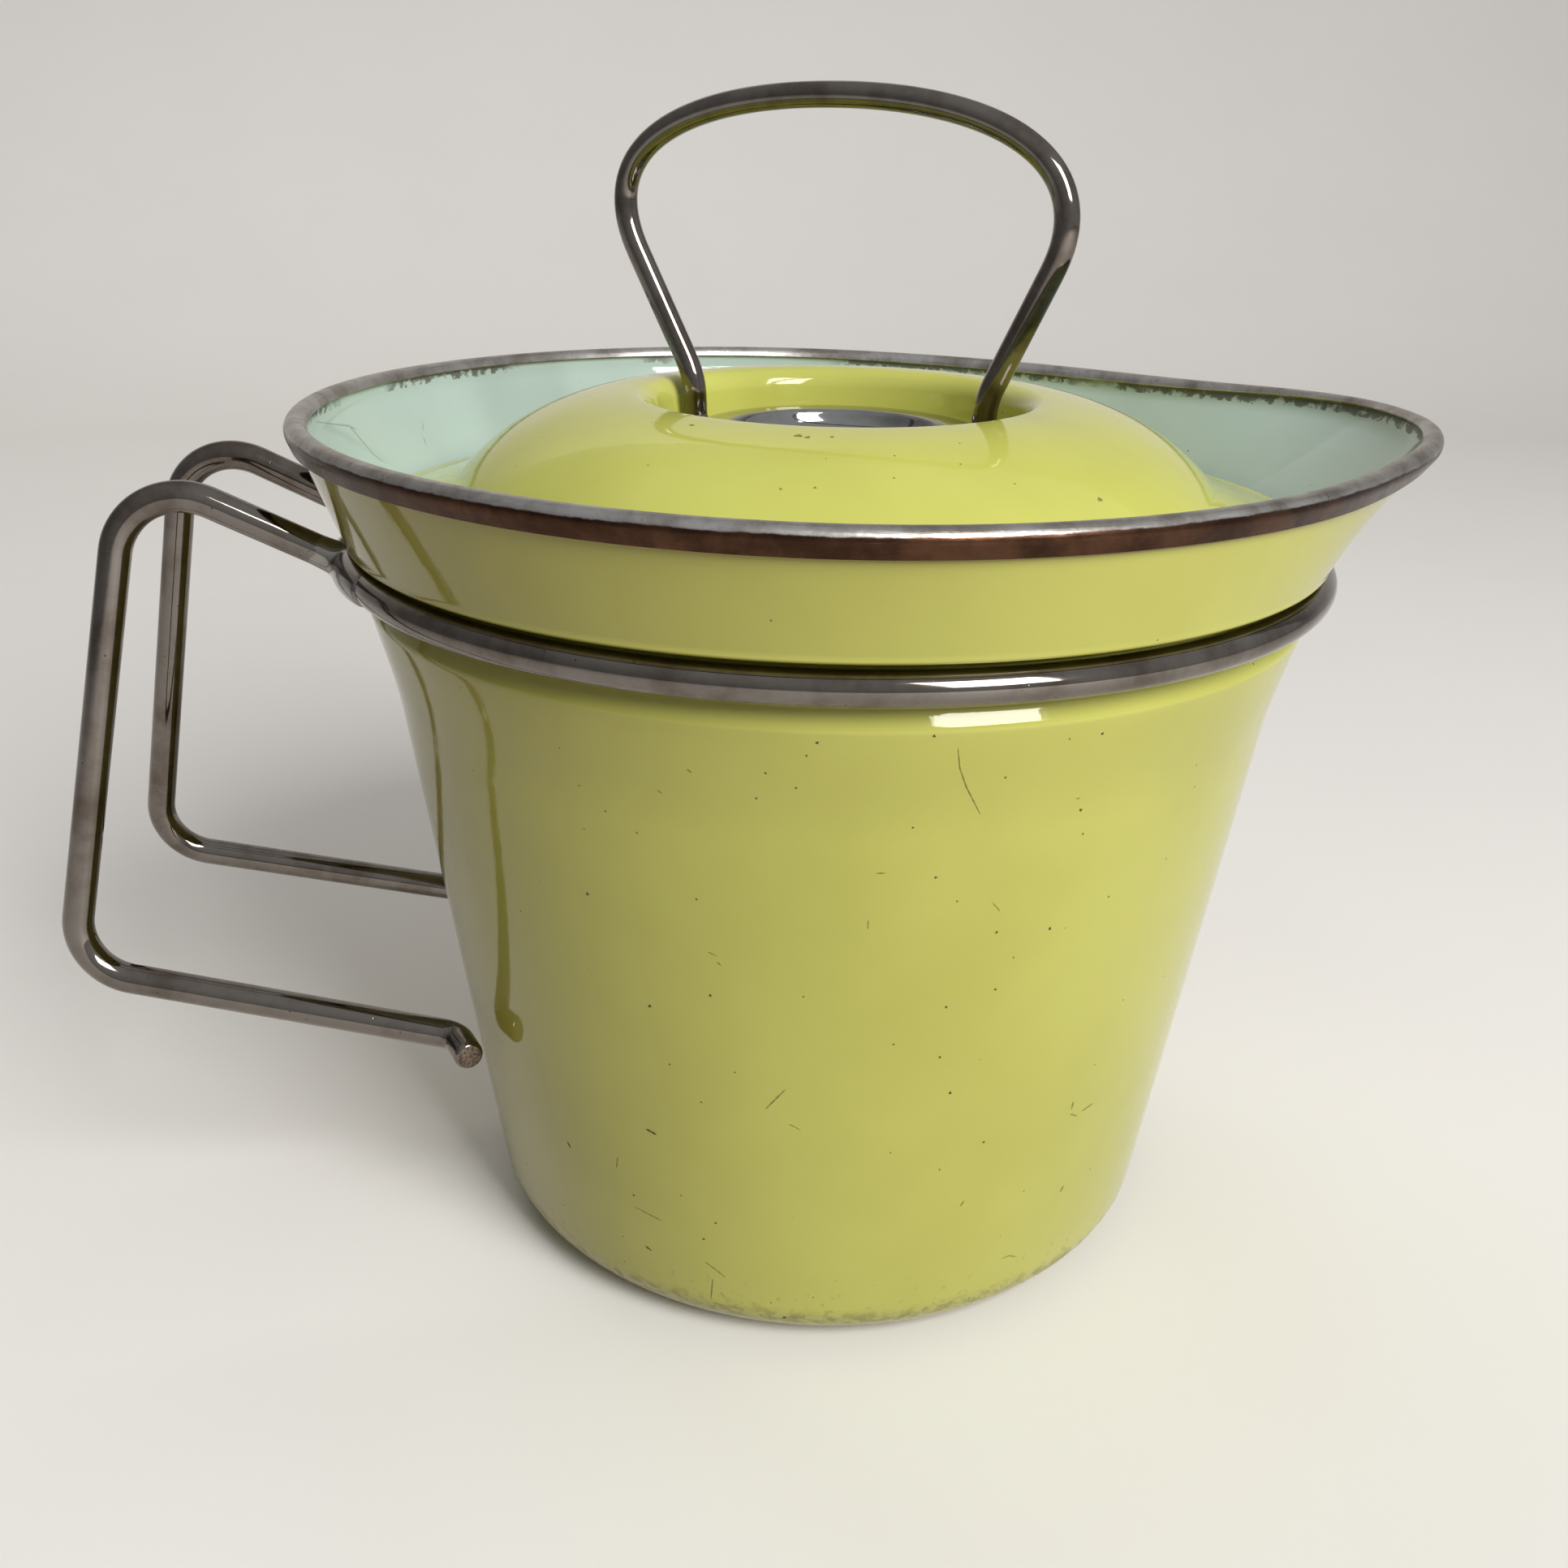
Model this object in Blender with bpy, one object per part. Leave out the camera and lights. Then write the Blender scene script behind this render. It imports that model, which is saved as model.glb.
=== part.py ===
"""Enamelled milk pan with a pouring lip, a wire handle frame and a lift-off lid.

Metres, +Z up. The origin is the middle of the flat base, on the surface that the pan stands on.
The Z axis is the axis of the pan, the lip pours towards +X and the handle stands out towards -X.
"""

from math import acos, atan2, cos, exp, pi, radians, sin, sqrt, tan

import bmesh
import bpy
from mathutils import Vector

# Clearance between pieces that touch
FIT_GAP = 0.0003

# Stock
SHEET = 0.0012
FRAME_WIRE_D = 0.0050
HOOP_WIRE_D = 0.0040

# Pan, from the base up
BASE_FLAT_R = 0.0505
BASE_CORNER_R = 0.0100
SIDE_TAPER = radians(8.07)
COVE_START_Z = 0.0954
COVE_SLOPE = 0.20
NECK_R = 0.0756
NECK_RECESS = 0.0017
RING_Z = 0.1189
RING_TO_COVE = 0.0014
RING_TO_SHOULDER = 0.0007
NOTCH_CUT = 0.0008
SHOULDER_STEP = 0.0040
SHOULDER_FILLET = 0.0006

# Mouth, on the middle line of the rim band
MOUTH_R = 0.0860
MOUTH_Z = 0.1404
MOUTH_TILT = 0.0011
FLARE_CURL = radians(2)
LIP_REACH = 0.0116
LIP_LIFT = 0.0011
LIP_HALF_ANGLE = radians(24)
LIP_SQUARENESS = 2.4
PINCH_DEPTH = 0.0030
PINCH_ANGLE = radians(61)
PINCH_SPREAD = radians(30)

# Rim band, a folded channel with a short inner leg
BAND_WIDTH = 0.00346
BAND_T = 0.0005
BAND_OUTER_LEG = 0.0035
BAND_INNER_LEG = 0.0023
BEAD_TAPER = 0.0013

# Handle frame: out from the pan's axis, half the spacing of the two loops, height
LOOP_ROOT_HALF = 0.0163
LOOP_TOP_X = 0.10885
LOOP_TOP_HALF = 0.0171
LOOP_TOP_Z = 0.1345
LOOP_TOP_BEND_R = 0.0102
LOOP_LOW_X = 0.1255
LOOP_LOW_HALF = 0.0247
LOOP_LOW_Z = 0.0543
LOOP_LOW_BEND_R = 0.0095
LOOP_FOOT_HALF = 0.0273
LOOP_FOOT_Z = 0.0412
LOOP_FOOT_BEND_R = 0.0038
LOOP_TOE_LENGTH = 0.0075
LOOP_TOE_CLEARANCE = 0.0026

# Lid sheet, heights above the ledge that it rests on
LID_EDGE_CLEARANCE = 0.0004
LID_REST_WIDTH = 0.0021
LID_FOOT_RUN = 0.0063
LID_FOOT_RISE = 0.0020
LID_SKIRT_R = 0.0610
LID_SKIRT_H = 0.0077
LID_SKIRT_FALL = 1.08
LID_SKIRT_RUN = 0.0075
LID_REVERSE_RUN = 0.0016
LID_CREST_R = 0.0335
LID_CREST_H = 0.0198
LID_CREST_RUN = 0.0095
WELL_R = 0.0295
WELL_DEPTH = 0.0109
WELL_DRAFT = 0.0008
WELL_CORNER_R = 0.0020
WELL_ROLL_H = 0.0036

# Lid's wire hoop, from the middle of the lid outwards, heights above the well's floor
HOOP_TURN = radians(-33)
HOOP_OFFSET = -0.0006
HOOP_SWAY = -0.042
HOOP_FOOT_LENGTH = 0.0068
HOOP_FOOT_BEND_R = 0.0032
HOOP_LEG_X = 0.0263
HOOP_BEND_H = 0.0114
HOOP_BEND_R = 0.0140
HOOP_ARCH_X = 0.0364
HOOP_ARCH_H = 0.0312
HOOP_ARCH_RISE = 0.0176
HOOP_ARCH_SPREAD = 0.0280
HOOP_PEAK_H = 0.0555

# Dished plate over the hoop's feet, and what holds it through the lid
PLATE_T = 0.0010
PLATE_TO_LEG = 0.0011
PLATE_BOWL_R = 0.0185
PLATE_BOTTOM_R = 0.0080
STUD_R = 0.0025
STUD_PAST_NUT = 0.0010
WASHER_R = 0.0080
WASHER_T = 0.0010
NUT_ACROSS_FLATS = 0.0080
NUT_T = 0.0040

# Worked out from the sizes above
RING_SEAT = FRAME_WIRE_D / 2 + FIT_GAP
RING_R = NECK_R + RING_SEAT
COVE_TOP_R = NECK_R + NECK_RECESS
COVE_TOP_Z = RING_Z - FRAME_WIRE_D / 2 - RING_TO_COVE
SHOULDER_Z = RING_Z + FRAME_WIRE_D / 2 + RING_TO_SHOULDER
SHOULDER_R = NECK_R + SHOULDER_STEP
LEDGE_Z = SHOULDER_Z + SHEET
WALL_FOOT_R = BASE_FLAT_R + BASE_CORNER_R * cos(SIDE_TAPER)
WALL_FOOT_Z = BASE_CORNER_R * (1 - sin(SIDE_TAPER))
BEAD_HALF = BAND_WIDTH / 2 - BAND_T - FIT_GAP
LID_R = SHOULDER_R - SHEET - LID_EDGE_CLEARANCE
LID_EDGE_H = FIT_GAP + SHEET
WELL_FLOOR_H = LID_CREST_H - WELL_DEPTH
FOOT_H = WELL_FLOOR_H + FIT_GAP + HOOP_WIRE_D / 2
PLATE_TOP_H = WELL_FLOOR_H + HOOP_WIRE_D + 2 * FIT_GAP + PLATE_T
PLATE_R = HOOP_LEG_X - HOOP_WIRE_D / 2 - PLATE_TO_LEG
HOLE_R = STUD_R + FIT_GAP

# Facets
PAN_SEGMENTS = 60
LID_SEGMENTS = 40
PLATE_SEGMENTS = 32
SMALL_SEGMENTS = 24
WIRE_SIDES = 8
HOOP_ARCH_STEPS = 16
BEND_SAG = 0.00008
SMOOTH_ANGLE = radians(35)


def clear_scene():
    for old in list(bpy.data.objects):
        bpy.data.objects.remove(old, do_unlink=True)


def make_material(name, colour, roughness, metallic):
    material = bpy.data.materials.new(name)
    material.use_nodes = True
    shader = material.node_tree.nodes["Principled BSDF"]
    shader.inputs["Base Color"].default_value = (*colour, 1)
    shader.inputs["Roughness"].default_value = roughness
    shader.inputs["Metallic"].default_value = metallic
    material.diffuse_color = (*colour, 1)
    return material


def add_object(name, bm, materials, parent=None):
    """Close the mesh, shade it smooth up to its real edges and put it in the scene."""
    bmesh.ops.remove_doubles(bm, verts=bm.verts, dist=1e-6)
    bmesh.ops.recalc_face_normals(bm, faces=bm.faces)
    mesh = bpy.data.meshes.new(name)
    bm.to_mesh(mesh)
    bm.free()
    mesh.shade_smooth()
    mesh.set_sharp_from_angle(angle=SMOOTH_ANGLE)
    for material in materials:
        mesh.materials.append(material)
    piece = bpy.data.objects.new(name, mesh)
    bpy.context.scene.collection.objects.link(piece)
    piece.parent = parent
    return piece


# Lines in the section plane, distance from the axis and height


def arc(centre, radius, start, end, steps):
    points = []
    for step in range(steps + 1):
        angle = start + (end - start) * step / steps
        points.append(Vector((centre[0] + radius * cos(angle), centre[1] + radius * sin(angle))))
    return points


def bezier(controls, steps):
    points = []
    for step in range(steps + 1):
        layer = [Vector(control) for control in controls]
        while len(layer) > 1:
            layer = [a.lerp(b, step / steps) for a, b in zip(layer, layer[1:])]
        points.append(layer[0])
    return points


def offset_left(points, distance):
    """The same line, moved to the left of its own direction."""
    moved = []
    last = len(points) - 1
    for index, point in enumerate(points):
        before = points[max(index, 1)] - points[max(index, 1) - 1]
        after = points[min(index, last - 1) + 1] - points[min(index, last - 1)]
        along = (before.normalized() + after.normalized()).normalized()
        left = Vector((-along.y, along.x))
        moved.append(point + left * distance / along.dot(after.normalized()))
    return moved


def skin_round(section_at, segments, closed):
    """Skin a section round the Z axis; an open section begins and ends on the axis."""
    bm = bmesh.new()
    rows = []
    for segment in range(segments):
        angle = 2 * pi * segment / segments
        row = [bm.verts.new((p.x * cos(angle), p.x * sin(angle), p.y)) for p in section_at(angle)]
        rows.append(row)
    count = len(rows[0])
    faces = []
    for row, following in zip(rows, rows[1:] + rows[:1]):
        for index in range(count if closed else count - 1):
            other = (index + 1) % count
            corners = (row[index], row[other], following[other], following[index])
            faces.append((index, bm.faces.new(corners)))
    return bm, faces


def add_turned(name, section, segments, materials, parent, inside_from=None):
    """A turned piece; its faces from one point of the section on take the second material."""
    bm, faces = skin_round(lambda angle: section, segments, closed=section[0].x > 0)
    if inside_from is not None:
        for index, face in faces:
            face.material_index = int(index >= inside_from)
    return add_object(name, bm, materials, parent)


# Pan body


def wall_r(z):
    """Outer radius of the pan's straight tapered side."""
    return WALL_FOOT_R + tan(SIDE_TAPER) * (z - WALL_FOOT_Z)


def cove_point(t, inset):
    """A point where the side swings out from its taper to the neck, t from 0 to 1."""
    height = COVE_TOP_Z - COVE_START_Z
    start_r = wall_r(COVE_START_Z)
    start_slope = tan(SIDE_TAPER) * height
    end_slope = COVE_SLOPE * height
    r = ((2 * t ** 3 - 3 * t ** 2 + 1) * start_r + (t ** 3 - 2 * t ** 2 + t) * start_slope
         + (3 * t ** 2 - 2 * t ** 3) * COVE_TOP_R + (t ** 3 - t ** 2) * end_slope)
    slope = ((6 * t ** 2 - 6 * t) * (start_r - COVE_TOP_R) + (3 * t ** 2 - 4 * t + 1) * start_slope
             + (3 * t ** 2 - 2 * t) * end_slope) / height
    outward = Vector((1, -slope)).normalized()
    return Vector((r, COVE_START_Z + height * t)) - outward * inset


def neck_step(inset):
    """The step in under the neck ring: past a brow, down a slope that clears the wire, to the neck."""
    cove_top = Vector((COVE_TOP_R, COVE_TOP_Z))
    past_wire = RING_R + RING_Z - COVE_TOP_R - COVE_TOP_Z - sqrt(2) * RING_SEAT
    brow = cove_top + Vector((COVE_SLOPE, 1)) * past_wire / (1 + COVE_SLOPE)
    notch = Vector((NECK_R, brow.x + brow.y - NECK_R))
    cove_top, brow, notch, neck = offset_left([cove_top, brow, notch, Vector((NECK_R, SHOULDER_Z))], inset)
    return [brow + (notch - brow).normalized() * (brow - cove_top).length,
            notch + (brow - notch).normalized() * NOTCH_CUT,
            notch + (neck - notch).normalized() * NOTCH_CUT]


def side_section(inset):
    """The wall from the middle of the base up to the neck, a distance inside its outer face."""
    points = [Vector((0, inset))]
    points += arc((BASE_FLAT_R, BASE_CORNER_R), BASE_CORNER_R - inset, -pi / 2, -SIDE_TAPER, 4)
    points += [cove_point(step / 4, inset) for step in range(5)]
    return points + neck_step(inset)


def rim_frame(angle):
    """Top of the rim band at an angle round the pan, and the way up and the way out there."""
    away = abs((angle + pi) % (2 * pi) - pi)
    lip = exp(-(away / LIP_HALF_ANGLE) ** LIP_SQUARENESS)
    pinch = exp(-((away - PINCH_ANGLE) / PINCH_SPREAD) ** 2)
    top = Vector((MOUTH_R + LIP_REACH * lip - PINCH_DEPTH * pinch,
                  MOUTH_Z + LIP_LIFT * lip - MOUTH_TILT * cos(angle)))
    lean = atan2(top.x + BEAD_HALF - SHOULDER_R, top.y - SHOULDER_Z) + FLARE_CURL
    return top, Vector((sin(lean), cos(lean))), Vector((cos(lean), -sin(lean)))


def pan_section(angle):
    """Outer face from the base to the rim bead, then the inner face back down to the base."""
    top, up, out = rim_frame(angle)
    bead = top - up * BAND_WIDTH / 2
    fillet = SHOULDER_FILLET
    shoulder = [(NECK_R, SHOULDER_Z - fillet),
                (NECK_R + fillet, SHOULDER_Z),
                (SHOULDER_R - 1.5 * fillet, SHOULDER_Z),
                (SHOULDER_R - 0.4 * fillet, SHOULDER_Z + 0.5 * fillet)]
    flare_foot = Vector((SHOULDER_R, SHOULDER_Z + 1.5 * fillet))
    flare_end = bead + out * BEAD_HALF
    flare_control = flare_end - up * (flare_end - flare_foot).length / 2
    flare = bezier([flare_foot, flare_control, flare_end], 5)
    outer = side_section(0) + [Vector(point) for point in shoulder] + flare[:-1]
    for step in range(5):
        turn = pi * step / 4
        outer.append(bead + (out * cos(turn) + up * sin(turn)) * BEAD_HALF)
    leg_end = bead - up * (BAND_INNER_LEG - BAND_WIDTH / 2)
    ledge_r = SHOULDER_R - SHEET
    ledge_inner_r = NECK_R - SHEET
    ledge = [(ledge_r, LEDGE_Z + fillet),
             (ledge_r - fillet / 2, LEDGE_Z),
             (ledge_inner_r + fillet, LEDGE_Z),
             (ledge_inner_r, LEDGE_Z - fillet)]
    inner = [leg_end - out * BEAD_HALF, leg_end + out * (BEAD_HALF - SHEET) - up * BEAD_TAPER]
    inner += offset_left(flare, SHEET)[4:0:-1]
    inner += [Vector(point) for point in ledge] + side_section(SHEET)[::-1]
    return outer, inner


def make_pan(outside, inside):
    first_inner = len(pan_section(0)[0])
    bm, faces = skin_round(lambda angle: sum(pan_section(angle), []), PAN_SEGMENTS, closed=False)
    for index, face in faces:
        face.material_index = int(index >= first_inner)
    add_object("pan_body", bm, [outside, inside])


def band_section(angle):
    """The folded band: over the bead, up the short inner leg, back inside and down the outer leg."""
    top, up, out = rim_frame(angle)
    half = BAND_WIDTH / 2
    inside = half - BAND_T
    bead = top - up * half
    points = []
    for step in range(5):
        turn = pi * step / 4
        points.append(bead + (out * cos(turn) + up * sin(turn)) * half)
    points.append(top - out * half - up * BAND_INNER_LEG)
    points.append(top - out * inside - up * BAND_INNER_LEG)
    for step in range(5):
        turn = pi - pi * step / 4
        points.append(bead + (out * cos(turn) + up * sin(turn)) * inside)
    points.append(top + out * inside - up * BAND_OUTER_LEG)
    points.append(top + out * half - up * BAND_OUTER_LEG)
    return points


# Wire work


def rounded_path(corners):
    """A path of straight runs; each corner but the two ends carries its bend radius."""
    path = [Vector(corners[0][0])]
    for (before, _), (here, radius), (after, _) in zip(corners, corners[1:], corners[2:]):
        here = Vector(here)
        back = (Vector(before) - here).normalized()
        onward = (Vector(after) - here).normalized()
        half_turn = (pi - back.angle(onward)) / 2
        centre = here + (back + onward).normalized() * radius / cos(half_turn)
        first = (here + back * radius * tan(half_turn) - centre).normalized()
        last = (here + onward * radius * tan(half_turn) - centre).normalized()
        steps = max(2, round(half_turn / acos(1 - BEND_SAG / radius)))
        path += [centre + first.slerp(last, step / steps) * radius for step in range(steps + 1)]
    path.append(Vector(corners[-1][0]))
    return path


def wire_along(path, diameter, closed=False):
    """A round wire along a path, with flat cut ends unless the path closes on itself."""
    bm = bmesh.new()
    last = len(path) - 1
    rings = []
    side = None
    for index, point in enumerate(path):
        before = path[index - 1] if closed or index > 0 else point
        after = path[(index + 1) % len(path)] if closed or index < last else point
        along = ((point - before).normalized() + (after - point).normalized()).normalized()
        if side is None:
            side = along.orthogonal().normalized() if not closed else Vector((0, 0, 1))
        side = (side - along * side.dot(along)).normalized()
        other = along.cross(side)
        stretch = 1.0
        if (point - before).length > 0 and (after - point).length > 0:
            stretch = 1 / along.dot((after - point).normalized())
        bend = (after - point).normalized() - (point - before).normalized()
        bend = bend.normalized() if bend.length > 1e-6 and stretch > 1 else None
        ring = []
        for step in range(WIRE_SIDES):
            turn = 2 * pi * step / WIRE_SIDES
            offset = (side * cos(turn) + other * sin(turn)) * diameter / 2
            if bend is not None:
                offset += bend * offset.dot(bend) * (stretch - 1)
            ring.append(bm.verts.new(point + offset))
        rings.append(ring)
    pairs = list(zip(rings, rings[1:]))
    if closed:
        pairs.append((rings[-1], rings[0]))
    for ring, following in pairs:
        for step in range(WIRE_SIDES):
            turn = (step + 1) % WIRE_SIDES
            bm.faces.new((ring[step], ring[turn], following[turn], following[step]))
    if not closed:
        bm.faces.new(rings[0])
        bm.faces.new(rings[-1])
    return bm


def ring_path():
    path = []
    for step in range(PAN_SEGMENTS):
        angle = 2 * pi * step / PAN_SEGMENTS
        path.append(Vector((RING_R * cos(angle), RING_R * sin(angle), RING_Z)))
    return path


def loop_path(side):
    """Out from the neck ring, down past the knuckles, back in and round to a toe along the wall."""
    root_x = sqrt(RING_R ** 2 - LOOP_ROOT_HALF ** 2)
    foot_r = wall_r(LOOP_FOOT_Z) + LOOP_TOE_CLEARANCE + FRAME_WIRE_D / 2
    foot_x = sqrt(foot_r ** 2 - LOOP_FOOT_HALF ** 2)
    foot = Vector((-foot_x, side * LOOP_FOOT_HALF, LOOP_FOOT_Z))
    along_wall = Vector((LOOP_FOOT_HALF, side * foot_x, 0)).normalized()
    return rounded_path([((-root_x, side * LOOP_ROOT_HALF, RING_Z), 0),
                         ((-LOOP_TOP_X, side * LOOP_TOP_HALF, LOOP_TOP_Z), LOOP_TOP_BEND_R),
                         ((-LOOP_LOW_X, side * LOOP_LOW_HALF, LOOP_LOW_Z), LOOP_LOW_BEND_R),
                         (foot, LOOP_FOOT_BEND_R),
                         (foot + along_wall * LOOP_TOE_LENGTH, 0)])


def make_handle_frame(chrome):
    ring = ring_path()
    add_object("neck_ring", wire_along(ring, FRAME_WIRE_D, closed=True), [chrome])
    for name, side in (("handle_loop_right", -1), ("handle_loop_left", 1)):
        loop = add_object(name, wire_along(loop_path(side), FRAME_WIRE_D), [chrome])
        cutter = add_object(name + "_cut", wire_along(ring, FRAME_WIRE_D + 2 * FIT_GAP, closed=True), [])
        cutter.hide_render = True
        cutter.display_type = "WIRE"
        joint = loop.modifiers.new("fit_to_ring", "BOOLEAN")
        joint.operation = "DIFFERENCE"
        joint.solver = "EXACT"
        joint.object = cutter


# Lid


def lid_section():
    """Top face from the hole in the well's floor out to the edge, then the underside back in."""
    wall_top_r = WELL_R + WELL_DRAFT
    roll_h = LID_CREST_H - WELL_ROLL_H
    corner = (WELL_R - WELL_CORNER_R, WELL_FLOOR_H + WELL_CORNER_R)
    top = [Vector((HOLE_R, WELL_FLOOR_H))] + arc(corner, WELL_CORNER_R, -pi / 2, 0, 2)
    for step in range(4):
        turn = pi / 2 * step / 4
        roll_r = LID_CREST_R - (LID_CREST_R - wall_top_r) * cos(turn)
        top.append(Vector((roll_r, roll_h + WELL_ROLL_H * sin(turn))))
    crest = Vector((LID_CREST_R, LID_CREST_H))
    skirt = Vector((LID_SKIRT_R, LID_SKIRT_H))
    rest = Vector((LID_R - LID_REST_WIDTH, LID_EDGE_H))
    down = Vector((1, -LID_SKIRT_FALL))
    top += bezier([crest, crest + Vector((LID_CREST_RUN, 0)), skirt - down * LID_SKIRT_RUN, skirt], 6)
    top += bezier([skirt, skirt + down * LID_REVERSE_RUN,
                   rest + Vector((-LID_FOOT_RUN, LID_FOOT_RISE)), rest], 5)[1:]
    top.append(Vector((LID_R, LID_EDGE_H)))
    return top, offset_left(top, -SHEET)[::-1]


def plate_section():
    """Dished plate: a flange over the hoop's feet and a bowl that bears on the well's floor."""
    bowl_h = WELL_FLOOR_H + FIT_GAP + PLATE_T
    reach = PLATE_BOWL_R - PLATE_BOTTOM_R
    top = [Vector((0, bowl_h))]
    top += bezier([(PLATE_BOTTOM_R, bowl_h), (PLATE_BOTTOM_R + reach / 2, bowl_h),
                   (PLATE_BOWL_R - reach / 4, PLATE_TOP_H), (PLATE_BOWL_R, PLATE_TOP_H)], 4)
    top.append(Vector((PLATE_R, PLATE_TOP_H)))
    return top + offset_left(top, -PLATE_T)[::-1]


def hoop_path():
    """A foot turned in under the plate, an upright leg that leans out, and a low arch on top."""
    bend = Vector((HOOP_LEG_X, 0, WELL_FLOOR_H + HOOP_BEND_H))
    leg_end = Vector((HOOP_ARCH_X, 0, WELL_FLOOR_H + HOOP_ARCH_H))
    peak = Vector((0, 0, WELL_FLOOR_H + HOOP_PEAK_H))
    half = rounded_path([((HOOP_LEG_X - HOOP_FOOT_LENGTH, 0, FOOT_H), 0),
                         ((HOOP_LEG_X, 0, FOOT_H), HOOP_FOOT_BEND_R),
                         (bend, HOOP_BEND_R),
                         (leg_end, 0)])
    half += bezier([leg_end, leg_end + (leg_end - bend).normalized() * HOOP_ARCH_RISE,
                    peak + Vector((HOOP_ARCH_SPREAD, 0, 0)), peak], HOOP_ARCH_STEPS)[1:]
    whole = half + [Vector((-point.x, 0, point.z)) for point in half[-2::-1]]
    return [point + Vector((HOOP_OFFSET + HOOP_SWAY * (point.z - FOOT_H), 0, 0)) for point in whole]


def drilled_section(outer_r, low, high):
    """Washer or nut with the stud's clearance hole through it."""
    return [Vector((HOLE_R, high)), Vector((outer_r, high)), Vector((outer_r, low)), Vector((HOLE_R, low))]


def hexagon_r(angle):
    return NUT_ACROSS_FLATS / 2 / cos(angle % (pi / 3) - pi / 6)


def make_lid(outside, inside, chrome, zinc):
    lid = bpy.data.objects.new("lid_seat", None)
    bpy.context.scene.collection.objects.link(lid)
    lid.location = (0, 0, LEDGE_Z)
    top, under = lid_section()
    add_turned("lid_shell", top + under, LID_SEGMENTS, [outside, inside], lid, inside_from=len(top))
    add_turned("lid_handle_plate", plate_section(), PLATE_SEGMENTS, [chrome], lid)
    hoop = add_object("lid_hoop", wire_along(hoop_path(), HOOP_WIRE_D), [chrome], lid)
    hoop.rotation_euler = (0, 0, HOOP_TURN)
    washer_top = WELL_FLOOR_H - SHEET - FIT_GAP
    nut_top = washer_top - WASHER_T - FIT_GAP
    nut_bottom = nut_top - NUT_T
    stud_end = nut_bottom - STUD_PAST_NUT
    stud = [Vector((0, WELL_FLOOR_H)), Vector((STUD_R, WELL_FLOOR_H)),
            Vector((STUD_R, stud_end)), Vector((0, stud_end))]
    add_turned("lid_stud", stud, SMALL_SEGMENTS, [zinc], lid)
    washer = drilled_section(WASHER_R, washer_top - WASHER_T, washer_top)
    add_turned("lid_washer", washer, SMALL_SEGMENTS, [zinc], lid)
    nut, _ = skin_round(lambda angle: drilled_section(hexagon_r(angle), nut_bottom, nut_top),
                        SMALL_SEGMENTS, closed=True)
    add_object("lid_nut", nut, [zinc], lid)


def main():
    clear_scene()
    lime = make_material("lime_enamel", (0.56, 0.56, 0.13), 0.18, 0.0)
    mint = make_material("mint_enamel", (0.50, 0.62, 0.52), 0.18, 0.0)
    chrome = make_material("plated_wire", (0.62, 0.62, 0.61), 0.12, 1.0)
    band_steel = make_material("band_steel", (0.42, 0.39, 0.36), 0.42, 1.0)
    zinc = make_material("zinc_fixings", (0.55, 0.56, 0.57), 0.38, 1.0)
    make_pan(lime, mint)
    band, _ = skin_round(band_section, PAN_SEGMENTS, closed=True)
    add_object("rim_band", band, [band_steel])
    make_handle_frame(chrome)
    make_lid(lime, mint, chrome, zinc)


main()
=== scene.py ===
"""Looks for the enamelled milk pan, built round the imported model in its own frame.

Metres, +Z up, the pan's axis on Z, the lip towards +X and the handle towards -X.
"""

from math import acos, atan2, cos, exp, pi, radians, sin, sqrt, tan

import bmesh
import bpy
from mathutils import Matrix, Vector


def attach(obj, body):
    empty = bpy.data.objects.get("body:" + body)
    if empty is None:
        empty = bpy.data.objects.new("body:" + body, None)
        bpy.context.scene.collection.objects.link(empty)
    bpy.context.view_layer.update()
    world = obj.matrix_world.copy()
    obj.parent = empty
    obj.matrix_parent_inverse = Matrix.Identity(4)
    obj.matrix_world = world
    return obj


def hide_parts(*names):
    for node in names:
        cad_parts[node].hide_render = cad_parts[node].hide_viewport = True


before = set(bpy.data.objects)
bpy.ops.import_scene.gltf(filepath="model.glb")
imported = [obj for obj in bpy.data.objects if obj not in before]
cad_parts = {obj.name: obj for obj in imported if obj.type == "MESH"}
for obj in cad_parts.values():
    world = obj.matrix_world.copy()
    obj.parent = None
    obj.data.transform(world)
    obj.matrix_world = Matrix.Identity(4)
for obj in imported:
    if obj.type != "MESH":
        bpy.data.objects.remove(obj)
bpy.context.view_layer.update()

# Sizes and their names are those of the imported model. Stock and clearance:
FIT_GAP = 0.0003
SHEET = 0.0012
FRAME_WIRE_D = 0.0050
HOOP_WIRE_D = 0.0040

# Pan, from the base up
BASE_FLAT_R = 0.0505
BASE_CORNER_R = 0.0100
SIDE_TAPER = radians(8.07)
COVE_START_Z = 0.0954
COVE_SLOPE = 0.20
NECK_R = 0.0756
NECK_RECESS = 0.0017
RING_Z = 0.1189
RING_TO_COVE = 0.0014
RING_TO_SHOULDER = 0.0007
SHOULDER_STEP = 0.0040
SHOULDER_FILLET = 0.0006

# Mouth, on the middle line of the rim band
MOUTH_R = 0.0860
MOUTH_Z = 0.1404
MOUTH_TILT = 0.0011
FLARE_CURL = radians(2)
LIP_REACH = 0.0116
LIP_LIFT = 0.0011
LIP_HALF_ANGLE = radians(24)
LIP_SQUARENESS = 2.4
PINCH_DEPTH = 0.0030
PINCH_ANGLE = radians(61)
PINCH_SPREAD = radians(30)

# Rim band, a folded channel with a short inner leg
BAND_WIDTH = 0.00346
BAND_T = 0.0005
BAND_OUTER_LEG = 0.0035
BAND_INNER_LEG = 0.0023
BEAD_TAPER = 0.0013

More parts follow.
